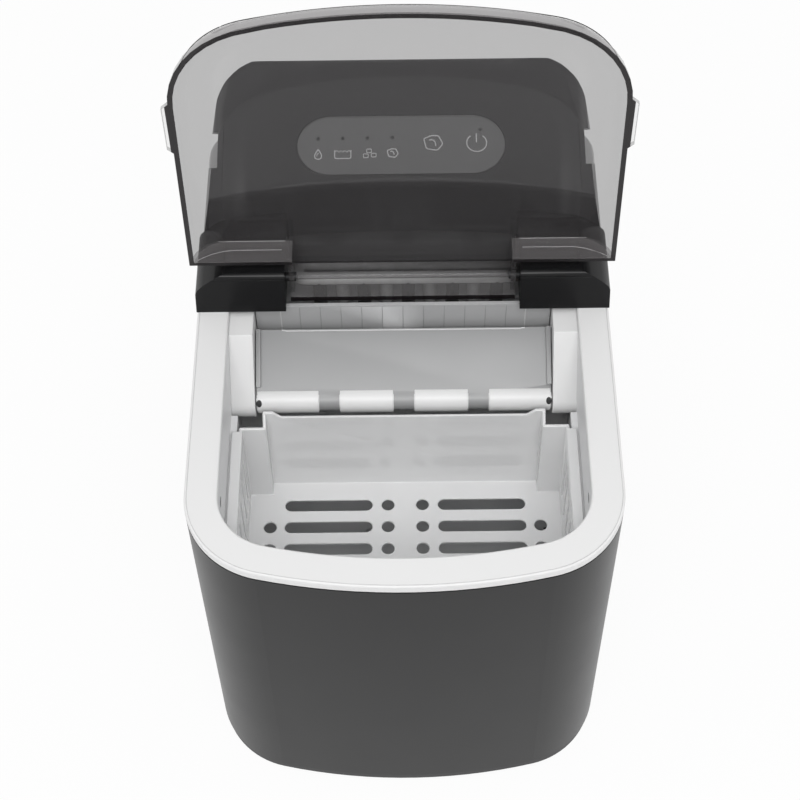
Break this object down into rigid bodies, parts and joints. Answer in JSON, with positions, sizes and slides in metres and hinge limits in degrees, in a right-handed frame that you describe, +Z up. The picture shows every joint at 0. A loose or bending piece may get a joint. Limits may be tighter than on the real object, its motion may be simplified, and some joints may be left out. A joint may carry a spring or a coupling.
{
  "type": "countertop ice maker",
  "caption": "Compact countertop ice maker with a raised smoky lid, lift-out basket, ice shovel and tilting water tray in a dark shell with a white rim.",
  "frame": {"origin": "middle of the footprint on the surface the feet stand on", "axes": "+X to the right seen from the front, +Y from the front to the back, +Z up; the front with the logo place faces -Y"},
  "size_m": [0.2298, 0.308, 0.4326],
  "materials": {
    "dark_plastic": "satin",
    "black_plastic": "satin",
    "black_gloss": "glossy",
    "white_plastic": "satin",
    "smoky_clear": "clear",
    "basket_plastic": "translucent",
    "grey_plastic": "satin",
    "steel": "satin",
    "nickel": "satin",
    "copper": "satin",
    "painted_shell": "satin",
    "aluminium": "satin",
    "foam": "foam",
    "rubber": "matt",
    "hose": "clear",
    "board": "satin"
  },
  "bodies": {
    "body": {"base_tray": "black_plastic", "foot_pads": "rubber", "outer_shell": "dark_plastic", "rear_panel": "black_plastic", "top_frame": "white_plastic", "inner_tub": "white_plastic", "tub_foam": "foam", "bracket_left": "white_plastic", "bracket_right": "white_plastic", "shovel_motor": "steel", "tray_motor": "steel", "evaporator": "nickel", "evaporator_lines": "copper", "pump_hose": "hose", "water_pump": "black_plastic", "compressor": "painted_shell", "compressor_grommets": "rubber", "condenser": "aluminium", "fan_shroud": "black_plastic", "fan_motor": "black_plastic", "filter_drier": "copper", "hot_gas_valve": "copper", "drain_hose": "hose", "cord_gland": "rubber", "main_board": "board", "hinge_block_left": "black_gloss", "hinge_block_right": "black_gloss", "hinge_pins": "steel", "rear_cover": "black_gloss", "display_board": "board", "control_panel": "dark_plastic", "panel_screws": "steel", "ice_sensors": "black_plastic"},
    "lid": {"lid": "smoky_clear"},
    "basket": {"ice_basket": "basket_plastic"},
    "shovel": {"ice_shovel": "grey_plastic", "shovel_rod": "steel"},
    "tray": {"water_tray": "white_plastic"},
    "fan": {"fan_blades": "black_plastic"},
    "plug": {"drain_plug": "rubber"}
  },
  "joints": [
    {"name": "lid_hinge", "type": "hinge", "parent": "body", "child": "lid", "pos_m": [0, 0.0344, 0.2421], "axis": [-1, 0, 0], "range_deg": [-91.4, 0]},
    {"name": "basket_lift", "type": "slide", "parent": "body", "child": "basket", "axis": [0, 0, 1], "range_m": [0, 0.1]},
    {"name": "tray_tilt", "type": "hinge", "parent": "body", "child": "tray", "pos_m": [0, 0.072, 0.22], "axis": [1, 0, 0], "range_deg": [0, 100]},
    {"name": "shovel_swing", "type": "hinge", "parent": "body", "child": "shovel", "pos_m": [0, -0.0133, 0.194], "axis": [1, 0, 0], "range_deg": [0, 45]},
    {"name": "fan_spin", "type": "hinge", "parent": "body", "child": "fan", "pos_m": [-0.095, 0.072, 0.0586], "axis": [1, 0, 0], "continuous": true},
    {"name": "drain_plug_pull", "type": "slide", "parent": "body", "child": "plug", "axis": [0, 1, 0], "range_m": [0, 0.015]}
  ]
}
